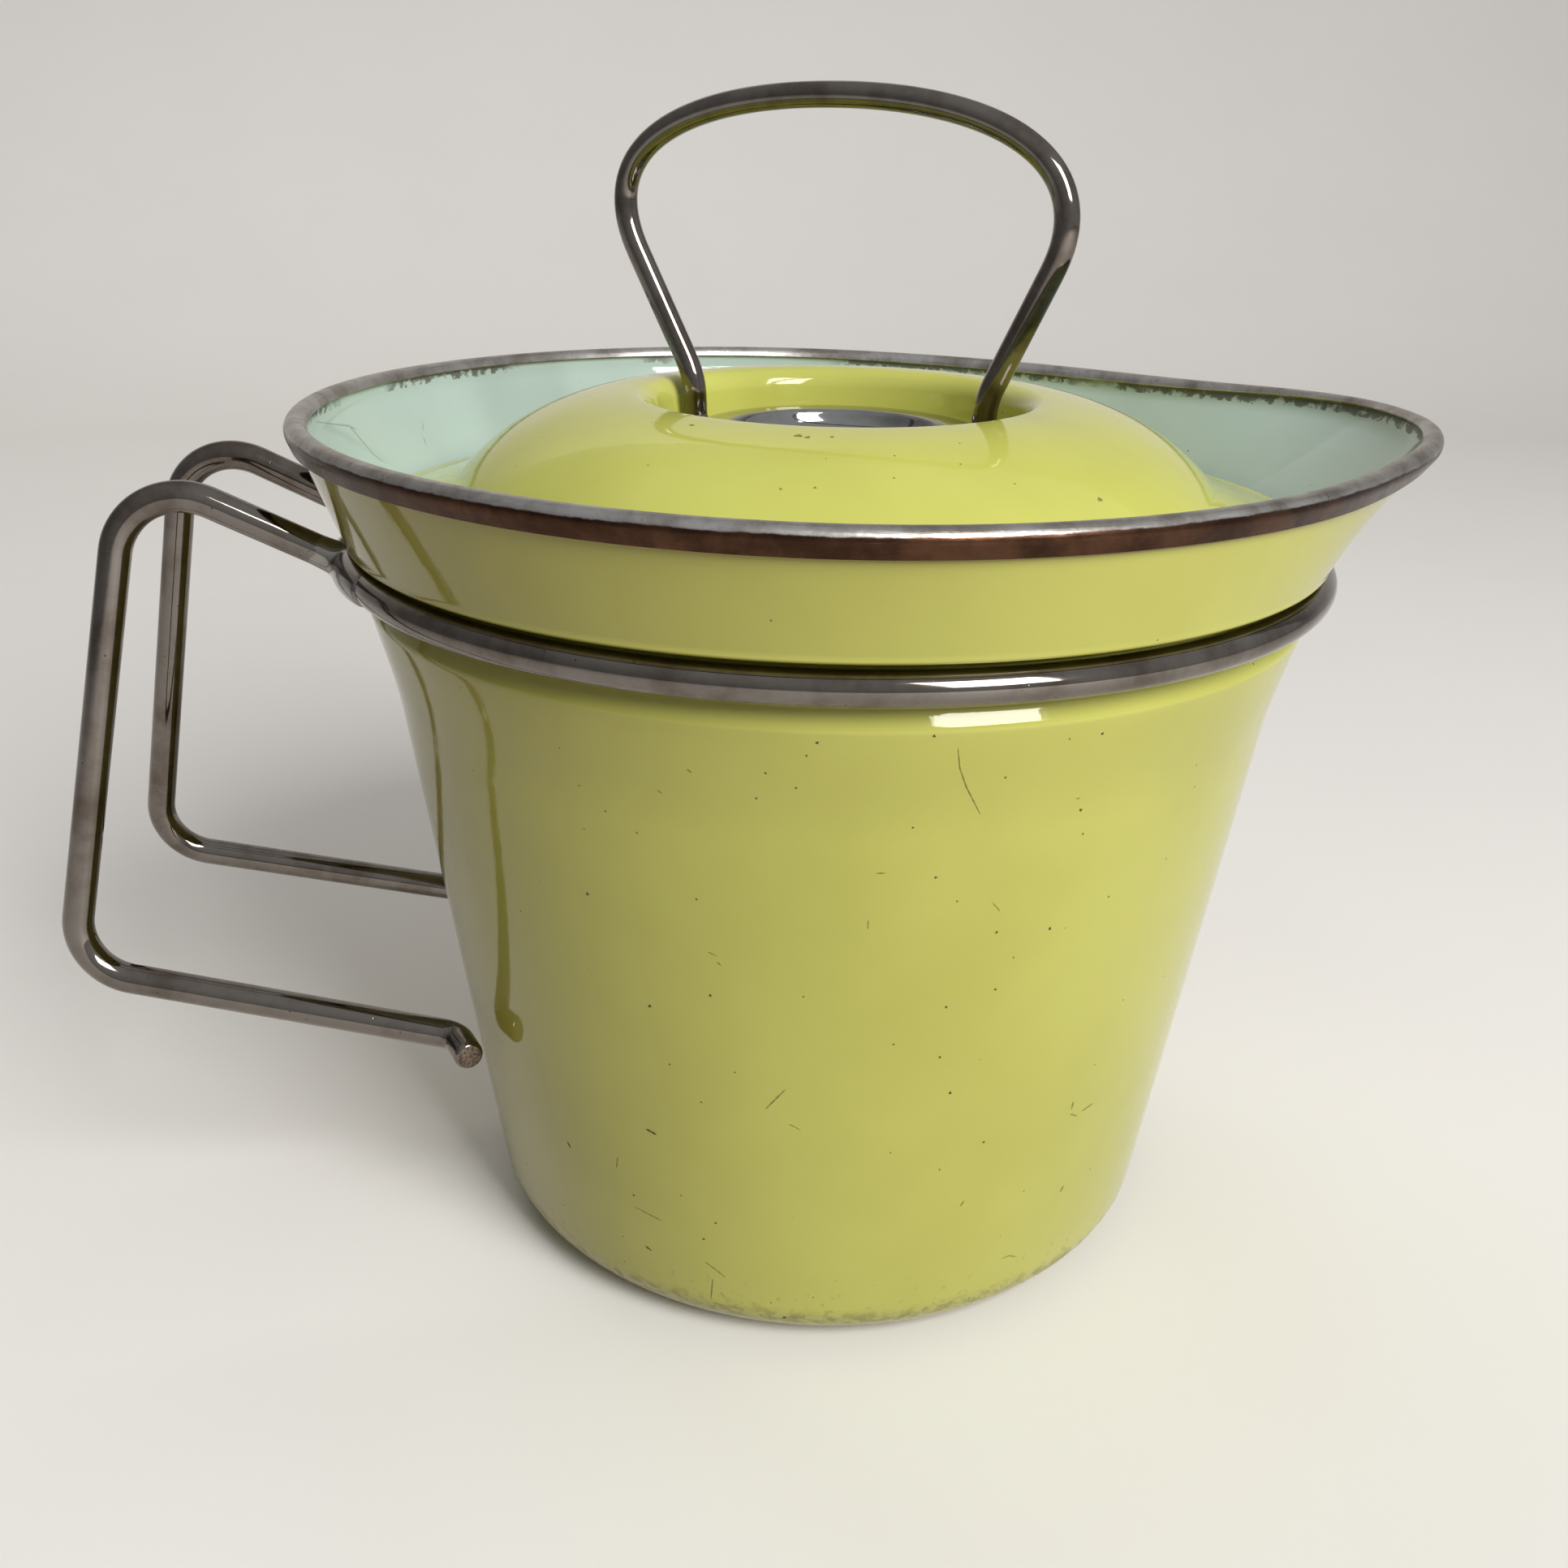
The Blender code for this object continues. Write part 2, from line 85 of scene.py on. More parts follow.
# Handle frame: out from the pan's axis, half the spacing of the two loops, height
LOOP_ROOT_HALF = 0.0163
LOOP_TOP_X = 0.10885
LOOP_TOP_HALF = 0.0171
LOOP_TOP_Z = 0.1345
LOOP_TOP_BEND_R = 0.0102
LOOP_LOW_X = 0.1255
LOOP_LOW_HALF = 0.0247
LOOP_LOW_Z = 0.0543
LOOP_LOW_BEND_R = 0.0095
LOOP_FOOT_HALF = 0.0273
LOOP_FOOT_Z = 0.0412
LOOP_FOOT_BEND_R = 0.0038
LOOP_TOE_LENGTH = 0.0075
LOOP_TOE_CLEARANCE = 0.0026

# Lid sheet, heights above the ledge that it rests on
LID_EDGE_CLEARANCE = 0.0004
LID_REST_WIDTH = 0.0021
LID_FOOT_RUN = 0.0063
LID_FOOT_RISE = 0.0020
LID_SKIRT_R = 0.0610
LID_SKIRT_H = 0.0077
LID_SKIRT_FALL = 1.08
LID_SKIRT_RUN = 0.0075
LID_REVERSE_RUN = 0.0016
LID_CREST_R = 0.0335
LID_CREST_H = 0.0198
LID_CREST_RUN = 0.0095
LID_HOLE_R = 0.0028
WELL_R = 0.0295
WELL_DEPTH = 0.0109
WELL_DRAFT = 0.0008
WELL_CORNER_R = 0.0020
WELL_ROLL_H = 0.0036

# Lid's wire hoop, from the middle of the lid outwards, heights above the well's floor
HOOP_TURN = radians(-33)
HOOP_OFFSET = -0.0006
HOOP_SWAY = -0.042
HOOP_FOOT_LENGTH = 0.0068
HOOP_FOOT_BEND_R = 0.0032
HOOP_LEG_X = 0.0263
HOOP_BEND_H = 0.0114
HOOP_BEND_R = 0.0140
HOOP_ARCH_X = 0.0364
HOOP_ARCH_H = 0.0312
HOOP_ARCH_RISE = 0.0176
HOOP_ARCH_SPREAD = 0.0280
HOOP_PEAK_H = 0.0555

# Dished plate over the hoop's feet
PLATE_T = 0.0010
PLATE_TO_LEG = 0.0011

# Worked out from the sizes above
RING_R = NECK_R + FRAME_WIRE_D / 2 + FIT_GAP
COVE_TOP_R = NECK_R + NECK_RECESS
COVE_TOP_Z = RING_Z - FRAME_WIRE_D / 2 - RING_TO_COVE
SHOULDER_Z = RING_Z + FRAME_WIRE_D / 2 + RING_TO_SHOULDER
SHOULDER_R = NECK_R + SHOULDER_STEP
LEDGE_Z = SHOULDER_Z + SHEET
WALL_FOOT_R = BASE_FLAT_R + BASE_CORNER_R * cos(SIDE_TAPER)
WALL_FOOT_Z = BASE_CORNER_R * (1 - sin(SIDE_TAPER))
BEAD_HALF = BAND_WIDTH / 2 - BAND_T - FIT_GAP
LID_R = SHOULDER_R - SHEET - LID_EDGE_CLEARANCE
LID_EDGE_H = FIT_GAP + SHEET
WELL_FLOOR_H = LID_CREST_H - WELL_DEPTH
FOOT_H = WELL_FLOOR_H + FIT_GAP + HOOP_WIRE_D / 2
PLATE_TOP_H = WELL_FLOOR_H + HOOP_WIRE_D + 2 * FIT_GAP + PLATE_T
PLATE_R = HOOP_LEG_X - HOOP_WIRE_D / 2 - PLATE_TO_LEG

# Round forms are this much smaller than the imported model's, whose facets reach less far
RIM_TRIM = 0.00022
WIRE_TRIM = 0.00006

# Small forms that only the visible pieces have
COVE_END = 0.80
BROW_AT = 0.88
BROW_TO_NOTCH = 0.0023
BROW_ROUNDING = 0.0007
LEDGE_CORNER_R = 0.0005
SEAT_CORNER_R = 0.0006
SEAT_FALL = 0.0014
BAND_CHAMFER = 0.0001
DISH_FLOOR_R = 0.0100
DISH_FLOOR_RUN = 0.0056
DISH_WALL_FALL = 0.0012
DISH_WALL_LEAN = 0.0007
DISH_BRIM_R = 0.0178
DISH_ROLL = 0.0008

# The toe's rounded edge: how far back from the end, and the share of the wire's radius there
TOE_ROUNDING = [(0.0010, 1), (0.0006, 0.985), (0.0003, 0.93), (0.0001, 0.86), (0, 0.78)]

# Welds: half angle along the ring, shift out and down, step up the loop; and the marks' lift
WELD_SPREAD = radians(12)
WELD_OUT = 0.00040
WELD_SAG = 0.00015
WELD_NECK_STEP = 0.0004
MARK_LIFT = 0.00003

# How finely round pieces are divided
PAN_SEGMENTS = 288
LID_SEGMENTS = 240
PLATE_SEGMENTS = 160
RING_SEGMENTS = 240
FLARE_STEPS = 24

# The photograph's viewpoint, worked out from the rims, the base and the wires
PHOTO_PIXELS = 1932
FOCAL_PIXELS = 1935
SENSOR_WIDTH = 36
CAMERA_PLACE = (-0.03179, -0.25895, 0.18027)
CAMERA_RIGHT = (0.99618, -0.08555, 0.01766)
CAMERA_FORWARD = (0.08589, 0.92246, -0.37642)

# Stage
FLOOR_FRONT_Y = -2.0
BACKDROP_Y = 1.3
BACKDROP_H = 2.0
BACKDROP_BEND_R = 0.5
STAGE_HALF_WIDTH = 3.0

# Wear that follows the photograph: width or radius in mm, then angles in degrees and heights in mm
SCRATCHES = [
    (0.20, [(-84.5, 110), (-84, 107), (-83, 104), (-81, 99.5)]),
    (0.26, [(-103.5, 49.5), (-101, 53.5)]),
    (0.16, [(-100.5, 47), (-99, 46)]),
    (0.22, [(-126, 33), (-126.5, 30.5)]),
    (0.20, [(-124, 23.5), (-119.5, 22.5)]),
    (0.20, [(-113, 16), (-111, 14.5), (-110, 13.5)]),
    (0.24, [(-112, 12.5), (-112.5, 8)]),
    (0.40, [(-59.5, 43.5), (-59.5, 42)]),
    (0.30, [(-59.5, 41), (-58, 40)]),
    (0.34, [(-57, 40.5), (-55, 41)]),
    (0.46, [(-57, 25), (-57.5, 24)]),
    (0.30, [(-76, 28.5), (-75.5, 29.5)]),
    (0.20, [(-67, 14), (-65.5, 14), (-64, 13)]),
    (0.20, [(-111, 105.5), (-110.5, 105)]),
    (0.20, [(-114.5, 101.5), (-114, 101)]),
    (0.16, [(-110, 76.5), (-109, 76)]),
    (0.22, [(-109, 75), (-108.5, 74.5)]),
    (0.18, [(-92, 83.5), (-92, 82)]),
    (0.18, [(-78, 85), (-77, 83.5)]),
    (0.22, [(-91.5, 91), (-90.5, 91)]),
    (0.22, [(-70, 100), (-69.5, 100)])]
CHIPS = [
    (0.50, [(-120.5, 41), (-119, 40.5)]),
    (0.40, [(-136, 31), (-135.5, 30)]),
    (0.44, [(-123, 15.5), (-122, 15)])]
PITS = [
    (0.25, -125, 82), (0.25, -118, 65), (0.20, -110, 69), (0.15, -111, 85), (0.20, -98, 111),
    (0.15, -99, 109), (0.15, -103, 106), (0.15, -100, 104), (0.15, -104, 102), (0.20, -87, 112),
    (0.20, -69, 110), (0.15, -79, 105), (0.25, -69, 98), (0.20, -85, 90), (0.20, -77, 80),
    (0.25, -70, 79), (0.20, -76, 70), (0.15, -62, 82), (0.20, -82, 68), (0.15, -88, 98),
    (0.15, -68, 94), (0.15, -112, 49), (0.20, -111, 25), (0.20, -113, 21), (0.20, -124, 26),
    (0.15, -116, 55), (0.30, -101, 6), (0.25, -80, 52), (0.15, -88, 62), (0.20, -74, 41),
    (0.15, -80, 37), (0.20, -82, 59)]
CRACKS = [
    (0.26, [(179, 138), (174, 136.5), (169, 135), (166, 129.5), (164.5, 128)]),
    (0.18, [(169, 135), (167.5, 134)]),
    (0.22, [(152, 132), (152.5, 130.5)]),
    (0.26, [(153, 129.5), (153, 128)])]

# Stains on the lid: radius in mm, then angle in degrees and distance from the axis in mm
STAINS = [
    (0.55, -105, 39), (0.40, -103, 39.5), (0.30, -98, 39), (0.35, -130, 38.5), (0.40, -56, 56),
    (0.20, -105, 52.5), (0.20, -100, 52), (0.15, -88, 50), (0.15, -76, 47.5), (0.15, -69, 52)]


# Mesh helpers


def finish_mesh(name, bm, materials, body, replaces=(), angle=40):
    bmesh.ops.remove_doubles(bm, verts=bm.verts, dist=1e-7)
    bmesh.ops.recalc_face_normals(bm, faces=bm.faces)
    mesh = bpy.data.meshes.new(name)
    bm.to_mesh(mesh)
    bm.free()
    mesh.shade_smooth()
    mesh.set_sharp_from_angle(angle=radians(angle))
    piece = bpy.data.objects.new(name, mesh)
    for material in materials:
        mesh.materials.append(material)
    bpy.context.scene.collection.objects.link(piece)
    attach(piece, body)
    if replaces:
        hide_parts(*replaces)
    return piece


def turned(angle, point):
    return Vector((point.x * cos(angle), point.x * sin(angle), point.y))


def skin_round(section_at, segments, closed):
    bm = bmesh.new()
    rows = []
    for segment in range(segments):
        angle = 2 * pi * segment / segments
        rows.append([bm.verts.new(turned(angle, point)) for point in section_at(angle)])
    count = len(rows[0])
    faces = []
    for row, following in zip(rows, rows[1:] + rows[:1]):
        for index in range(count if closed else count - 1):
            other = (index + 1) % count
            corners = (row[index], row[other], following[other], following[index])
            faces.append((index, bm.faces.new(corners)))
    return bm, faces


def arc(centre, radius, start, end, steps):
    points = []
    for step in range(steps + 1):
        angle = start + (end - start) * step / steps
        points.append(Vector((centre[0] + radius * cos(angle), centre[1] + radius * sin(angle))))
    return points


def bezier(controls, steps):
    points = []
    for step in range(steps + 1):
        layer = [Vector(control) for control in controls]
        while len(layer) > 1:
            layer = [a.lerp(b, step / steps) for a, b in zip(layer, layer[1:])]
        points.append(layer[0])
    return points


def offset_left(points, distance):
    moved = []
    last = len(points) - 1
    for index, point in enumerate(points):
        before = points[max(index, 1)] - points[max(index, 1) - 1]
        after = points[min(index, last - 1) + 1] - points[min(index, last - 1)]
        along = (before.normalized() + after.normalized()).normalized()
        left = Vector((-along.y, along.x))
        moved.append(point + left * distance / along.dot(after.normalized()))
    return moved


def rounded(corners, sag=0.00001):
    """A path whose corners, each a point and a bend radius, are rounded; works in 2-D and 3-D."""
    path = [Vector(corners[0][0])]
    for (before, _), (here, radius), (after, _) in zip(corners, corners[1:], corners[2:]):
        here = Vector(here)
        if radius == 0:
            path.append(here)
            continue
        back = (Vector(before) - here).normalized()
        onward = (Vector(after) - here).normalized()
        half_turn = (pi - back.angle(onward)) / 2
        centre = here + (back + onward).normalized() * radius / cos(half_turn)
        first = (here + back * radius * tan(half_turn) - centre).normalized()
        last = (here + onward * radius * tan(half_turn) - centre).normalized()
        steps = max(3, round(half_turn / acos(1 - sag / radius)))
        for step in range(steps + 1):
            share = step / steps
            swing = first.angle(last)
            blend = (first * sin((1 - share) * swing) + last * sin(share * swing)) / sin(swing)
            path.append(centre + blend * radius)
    path.append(Vector(corners[-1][0]))
    return path


def cut_corner(before, corner, after, reach, steps):
    """A corner softened into a curve that starts and ends a reach away from it."""
    start = corner + (before - corner).normalized() * reach
    end = corner + (after - corner).normalized() * reach
    return bezier([start, corner, end], steps)


def place_on(line, value, axis):
    """The point of a section line whose radius (axis 0) or height (axis 1) has a value."""
    for low, high in zip(line, line[1:]):
        if low[axis] != high[axis] and (low[axis] - value) * (high[axis] - value) <= 0:
            return low.lerp(high, (value - low[axis]) / (high[axis] - low[axis]))


# Pan sections


def wall_r(z):
    return WALL_FOOT_R + tan(SIDE_TAPER) * (z - WALL_FOOT_Z)


def cove_point(t, inset):
    height = COVE_TOP_Z - COVE_START_Z
    start_r = wall_r(COVE_START_Z)
    start_slope = tan(SIDE_TAPER) * height
    end_slope = COVE_SLOPE * height
    r = ((2 * t ** 3 - 3 * t ** 2 + 1) * start_r + (t ** 3 - 2 * t ** 2 + t) * start_slope
         + (3 * t ** 2 - 2 * t ** 3) * COVE_TOP_R + (t ** 3 - t ** 2) * end_slope)
    slope = ((6 * t ** 2 - 6 * t) * (start_r - COVE_TOP_R) + (3 * t ** 2 - 4 * t + 1) * start_slope
             + (3 * t ** 2 - 2 * t) * end_slope) / height
    outward = Vector((1, -slope)).normalized()
    return Vector((r, COVE_START_Z + height * t)) - outward * inset


def neck_step(inset):
    """The step in under the neck ring: the wall turns in at its brow, where it catches the window."""
    below, brow = cove_point(COVE_END, 0), cove_point(BROW_AT, 0)
    notch = Vector((NECK_R, brow.y + BROW_TO_NOTCH))
    line = offset_left([below, brow, notch, Vector((NECK_R, SHOULDER_Z))], inset)
    return cut_corner(*line[:3], BROW_ROUNDING, 8) + cut_corner(*line[1:], BROW_ROUNDING, 5)


def side_section(inset):
    points = [Vector((share * BASE_FLAT_R / 4, inset)) for share in range(4)]
    points += arc((BASE_FLAT_R, BASE_CORNER_R), BASE_CORNER_R - inset, -pi / 2, -SIDE_TAPER, 16)
    foot = points[-1]
    cove = [cove_point(COVE_END * step / 12, inset) for step in range(13)]
    points += [foot.lerp(cove[0], share / 10) for share in range(1, 10)]
    return points + cove + neck_step(inset)


def rim_frame(angle):
    """The band's top on its middle line at an angle, and its directions up and out in the section."""
    away = abs((angle + pi) % (2 * pi) - pi)
    lip = exp(-(away / LIP_HALF_ANGLE) ** LIP_SQUARENESS)
    pinch = exp(-((away - PINCH_ANGLE) / PINCH_SPREAD) ** 2)
    top = Vector((MOUTH_R - RIM_TRIM + LIP_REACH * lip - PINCH_DEPTH * pinch,
                  MOUTH_Z + LIP_LIFT * lip - MOUTH_TILT * cos(angle)))
    lean = atan2(top.x + BEAD_HALF - SHOULDER_R, top.y - SHOULDER_Z) + FLARE_CURL
    return top, Vector((sin(lean), cos(lean))), Vector((cos(lean), -sin(lean)))


def pan_section(angle):
    """The body's outer line, from the base up and over the bead, and its inner line back down."""
    top, up, out = rim_frame(angle)
    bead = top - up * BAND_WIDTH / 2
    fillet = SHOULDER_FILLET
    flare_foot = Vector((SHOULDER_R, SHOULDER_Z + 1.5 * fillet))
    flare_end = bead + out * BEAD_HALF
    flare_control = flare_end - up * (flare_end - flare_foot).length / 2
    flare = bezier([flare_foot, flare_control, flare_end], FLARE_STEPS)
    inward = Vector((NECK_R, SHOULDER_Z))
    outward = Vector((SHOULDER_R, SHOULDER_Z))
    shoulder = (cut_corner(Vector((NECK_R, RING_Z)), inward, outward, fillet, 5)
                + cut_corner(inward, outward, flare_foot, 1.5 * fillet, 8))
    outer = side_section(0) + shoulder + flare[1:-1]
    for step in range(9):
        turn = pi * step / 8
        outer.append(bead + (out * cos(turn) + up * sin(turn)) * BEAD_HALF)
    leg_end = bead - up * (BAND_INNER_LEG - BAND_WIDTH / 2)
    inner_flare = offset_left(flare, SHEET)
    ledge = rounded([(inner_flare[2], 0),
                     ((SHOULDER_R - SHEET, LEDGE_Z), LEDGE_CORNER_R),
                     ((NECK_R - SHEET, LEDGE_Z), SEAT_CORNER_R),
                     ((NECK_R - SHEET, LEDGE_Z - SEAT_FALL), 0)])
    inner = [leg_end - out * BEAD_HALF, leg_end + out * (BEAD_HALF - SHEET) - up * BEAD_TAPER]
    inner += inner_flare[FLARE_STEPS - 5:2:-1] + ledge + side_section(SHEET)[::-1]
    return outer, inner


def band_section(angle):
    top, up, out = rim_frame(angle)
    half = BAND_WIDTH / 2
    inside = half - BAND_T
    bead = top - up * half
    points = []
    for step in range(17):
        turn = pi * step / 16
        points.append(bead + (out * cos(turn) + up * sin(turn)) * half)
    points.append(top - out * half - up * (BAND_INNER_LEG - BAND_CHAMFER))
    points.append(top - out * (half - BAND_CHAMFER) - up * BAND_INNER_LEG)
    points.append(top - out * inside - up * BAND_INNER_LEG)
    for step in range(7):
        turn = pi - pi * step / 6
        points.append(bead + (out * cos(turn) + up * sin(turn)) * inside)
    points.append(top + out * inside - up * BAND_OUTER_LEG)
    points.append(top + out * (half - BAND_CHAMFER) - up * BAND_OUTER_LEG)
    points.append(top + out * half - up * (BAND_OUTER_LEG - BAND_CHAMFER))
    return points


# Lid sections


def lid_section():
    """The lid's outer line, from the hole in the well's floor to the edge, and its inner line back."""
    crest = Vector((LID_CREST_R, LID_CREST_H))
    skirt = Vector((LID_SKIRT_R, LID_SKIRT_H))
    rest = Vector((LID_R - LID_REST_WIDTH, LID_EDGE_H))
    down = Vector((1, -LID_SKIRT_FALL))
    roll = LID_CREST_R - WELL_R - WELL_DRAFT
    corner = (WELL_R - WELL_CORNER_R, WELL_FLOOR_H + WELL_CORNER_R)
    top = [Vector((LID_HOLE_R, WELL_FLOOR_H))] + arc(corner, WELL_CORNER_R, -pi / 2, 0, 8)
    for step in range(16):
        turn = pi / 2 * step / 16
        top.append(crest - Vector((roll * cos(turn), WELL_ROLL_H * (1 - sin(turn)))))
    top += bezier([crest, crest + Vector((LID_CREST_RUN, 0)), skirt - down * LID_SKIRT_RUN, skirt], 24)
    top += bezier([skirt, skirt + down * LID_REVERSE_RUN,
                   rest + Vector((-LID_FOOT_RUN, LID_FOOT_RISE)), rest], 18)[1:]
    under = offset_left(top + [Vector((LID_R, LID_EDGE_H))], -SHEET)[::-1]
    edge = arc((LID_R - SHEET / 2, LID_EDGE_H - SHEET / 2), SHEET / 2, pi / 2, -pi / 2, 8)
    lift = Vector((0, LEDGE_Z))
    return [point + lift for point in top + edge], [point + lift for point in under[1:]]


def plate_section():
    """The plate's line, from the middle of its dish over the brim to the edge, and back under."""
    top_z = LEDGE_Z + PLATE_TOP_H
    bowl_z = LEDGE_Z + WELL_FLOOR_H + FIT_GAP + PLATE_T
    brim = Vector((DISH_BRIM_R, top_z - DISH_ROLL))
    top = [Vector((0, bowl_z)), Vector((0.4 * DISH_FLOOR_R, bowl_z))]
    top += bezier([(DISH_FLOOR_R, bowl_z), (DISH_FLOOR_R + DISH_FLOOR_RUN, bowl_z),
                   (DISH_BRIM_R - DISH_WALL_LEAN, bowl_z + DISH_WALL_FALL), brim], 20)
    top += bezier([brim, brim + Vector((0.25, 0.75)) * DISH_ROLL,
                   (DISH_BRIM_R + 0.75 * DISH_ROLL, top_z),
                   (DISH_BRIM_R + 1.75 * DISH_ROLL, top_z)], 8)[1:]
    top.append(Vector((DISH_BRIM_R + 4 * DISH_ROLL, top_z)))
    edge = arc((PLATE_R - PLATE_T / 2, top_z - PLATE_T / 2), PLATE_T / 2, pi / 2, -pi / 2, 8)
    under = offset_left(top, -PLATE_T)[::-1]
    return top + edge + under


# Wire work


def tube(bm, path, radii, closed=False, sides=24):
    """Skin a round wire along a path, with a radius at each point of it; gives its two end faces."""
    last = len(path) - 1
    rings = []
    side = Vector((0, 0, 1)) if closed else (path[1] - path[0]).orthogonal()
    for index, (point, radius) in enumerate(zip(path, radii)):
        before = path[index - 1] if closed or index > 0 else point
        after = path[(index + 1) % len(path)] if closed or index < last else point
        along = ((point - before).normalized() + (after - point).normalized()).normalized()
        side = (side - along * side.dot(along)).normalized()
        other = along.cross(side)
        rings.append([bm.verts.new(point + (side * cos(2 * pi * step / sides)
                                            + other * sin(2 * pi * step / sides)) * radius)
                      for step in range(sides)])
    for ring, following in zip(rings, rings[1:] + rings[:1] if closed else rings[1:]):
        for step in range(sides):
            turn = (step + 1) % sides
            bm.faces.new((ring[step], ring[turn], following[turn], following[step]))
    if closed:
        return []
    return [bm.faces.new(rings[0]), bm.faces.new(rings[-1])]


def ring_points(centre_angle, spread, steps):
    angles = [centre_angle + spread * (2 * step / steps - 1) for step in range(steps + 1)]
    return [Vector((RING_R * cos(angle), RING_R * sin(angle), RING_Z)) for angle in angles]


def loop_path(side):
    root_x = sqrt(RING_R ** 2 - LOOP_ROOT_HALF ** 2)
    foot_r = wall_r(LOOP_FOOT_Z) + LOOP_TOE_CLEARANCE + FRAME_WIRE_D / 2
    foot_x = sqrt(foot_r ** 2 - LOOP_FOOT_HALF ** 2)
    foot = Vector((-foot_x, side * LOOP_FOOT_HALF, LOOP_FOOT_Z))
    along_wall = Vector((LOOP_FOOT_HALF, side * foot_x, 0)).normalized()
    return rounded([((-root_x, side * LOOP_ROOT_HALF, RING_Z), 0),
                    ((-LOOP_TOP_X, side * LOOP_TOP_HALF, LOOP_TOP_Z), LOOP_TOP_BEND_R),
                    ((-LOOP_LOW_X, side * LOOP_LOW_HALF, LOOP_LOW_Z), LOOP_LOW_BEND_R),
                    (foot, LOOP_FOOT_BEND_R),
                    (foot + along_wall * LOOP_TOE_LENGTH, 0)])


def hoop_path():
    bend = Vector((HOOP_LEG_X, 0, WELL_FLOOR_H + HOOP_BEND_H))
    leg_end = Vector((HOOP_ARCH_X, 0, WELL_FLOOR_H + HOOP_ARCH_H))
    peak = Vector((0, 0, WELL_FLOOR_H + HOOP_PEAK_H))
    half = rounded([((HOOP_LEG_X - HOOP_FOOT_LENGTH, 0, FOOT_H), 0),
                    ((HOOP_LEG_X, 0, FOOT_H), HOOP_FOOT_BEND_R),
                    (bend, HOOP_BEND_R),
                    (leg_end, 0)])
    half += bezier([leg_end, leg_end + (leg_end - bend).normalized() * HOOP_ARCH_RISE,
                    peak + Vector((HOOP_ARCH_SPREAD, 0, 0)), peak], 40)[1:]
    whole = half + [Vector((-point.x, 0, point.z)) for point in half[-2::-1]]
    leaning = [point + Vector((HOOP_OFFSET + HOOP_SWAY * (point.z - FOOT_H), 0, 0)) for point in whole]
    turn = Matrix.Rotation(HOOP_TURN, 3, "Z")
    return [turn @ point + Vector((0, 0, LEDGE_Z)) for point in leaning]


def make_wire(name, path, diameter, body, materials, replaces, closed=False):
    bm = bmesh.new()
    radius = diameter / 2 - WIRE_TRIM
    tube(bm, path, [radius] * len(path), closed)
    return finish_mesh(name, bm, materials, body, replaces)


def make_loop(name, side, materials, node):
    """A handle wire whose toe ends in a sheared face with a rounded edge."""
    path = loop_path(side)
    radius = FRAME_WIRE_D / 2 - WIRE_TRIM
    end = path.pop()
    back = (path[-1] - end).normalized()
    radii = [radius] * len(path) + [radius * share for _, share in TOE_ROUNDING]
    path += [end + back * setback for setback, _ in TOE_ROUNDING]
    bm = bmesh.new()
    face = tube(bm, path, radii)[1]
    for rim in bmesh.ops.inset_region(bm, faces=[face], thickness=radius * 0.35)["faces"]:
        rim.material_index = 1
    face.material_index = 1
    return finish_mesh(name, bm, materials, "pan", [node])


def melted(name, bm):
    """The pieces in a mesh run together into one smooth skin."""
    mesh = bpy.data.meshes.new(name)
    bm.to_mesh(mesh)
    bm.free()
    core = bpy.data.objects.new(name, mesh)
    bpy.context.scene.collection.objects.link(core)
    melt = core.modifiers.new("melt", "REMESH")
    melt.mode = "VOXEL"
    melt.voxel_size = 0.00028
    flow = core.modifiers.new("flow", "SMOOTH")
    flow.factor = 0.5
    flow.iterations = 45
    depsgraph = bpy.context.evaluated_depsgraph_get()
    skin = bpy.data.meshes.new_from_object(core.evaluated_get(depsgraph))
    bpy.data.objects.remove(core, do_unlink=True)
    bm = bmesh.new()
    bm.from_mesh(skin)
    bpy.data.meshes.remove(skin)
    return bm


def make_weld(name, side, material):
    """Solder that ran along the ring and up the loop, thickest where they meet."""
    root = Vector((-sqrt(RING_R ** 2 - LOOP_ROOT_HALF ** 2), side * LOOP_ROOT_HALF, RING_Z))
    wire_r = FRAME_WIRE_D / 2
    shift = Vector((root.x, root.y, 0)).normalized() * WELD_OUT - Vector((0, 0, WELD_SAG))
    ring = [point + shift for point in ring_points(atan2(root.y, root.x), WELD_SPREAD, 30)]
    ring_radii = [wire_r * (0.95 + 0.38 * sin(pi * step / 30) ** 0.7) for step in range(31)]
    along = (loop_path(side)[1] - root).normalized()
    neck = [root + along * WELD_NECK_STEP * step for step in range(26)]
    neck_radii = [wire_r * (1.30 - 0.38 * (step / 25) ** 0.5) for step in range(26)]
    bm = bmesh.new()
    tube(bm, ring, ring_radii)
    tube(bm, neck, neck_radii)
    return finish_mesh(name, melted(name + "_core", bm), [material], "pan", angle=180)


# Wear laid on the enamel


def add_strip(bm, places, normals, width, kind):
    """A thin strip along a line of places, narrow at both ends and a little uneven."""
    count = len(places)
    edges = []
    for index, (place, normal) in enumerate(zip(places, normals)):
        along = (places[min(index + 1, count - 1)] - places[max(index - 1, 0)]).normalized()
        side = along.cross(normal).normalized()
        share = index / (count - 1)
        half = width / 2 * (0.35 + 0.65 * sin(pi * share) ** 0.5) * (1 + 0.35 * sin(index * 2.3))
        lift = normal * MARK_LIFT
        edges.append([bm.verts.new(place + side * reach + lift) for reach in (half, -half)])
    for (a, b), (c, d) in zip(edges, edges[1:]):
        bm.faces.new((a, b, d, c)).material_index = kind


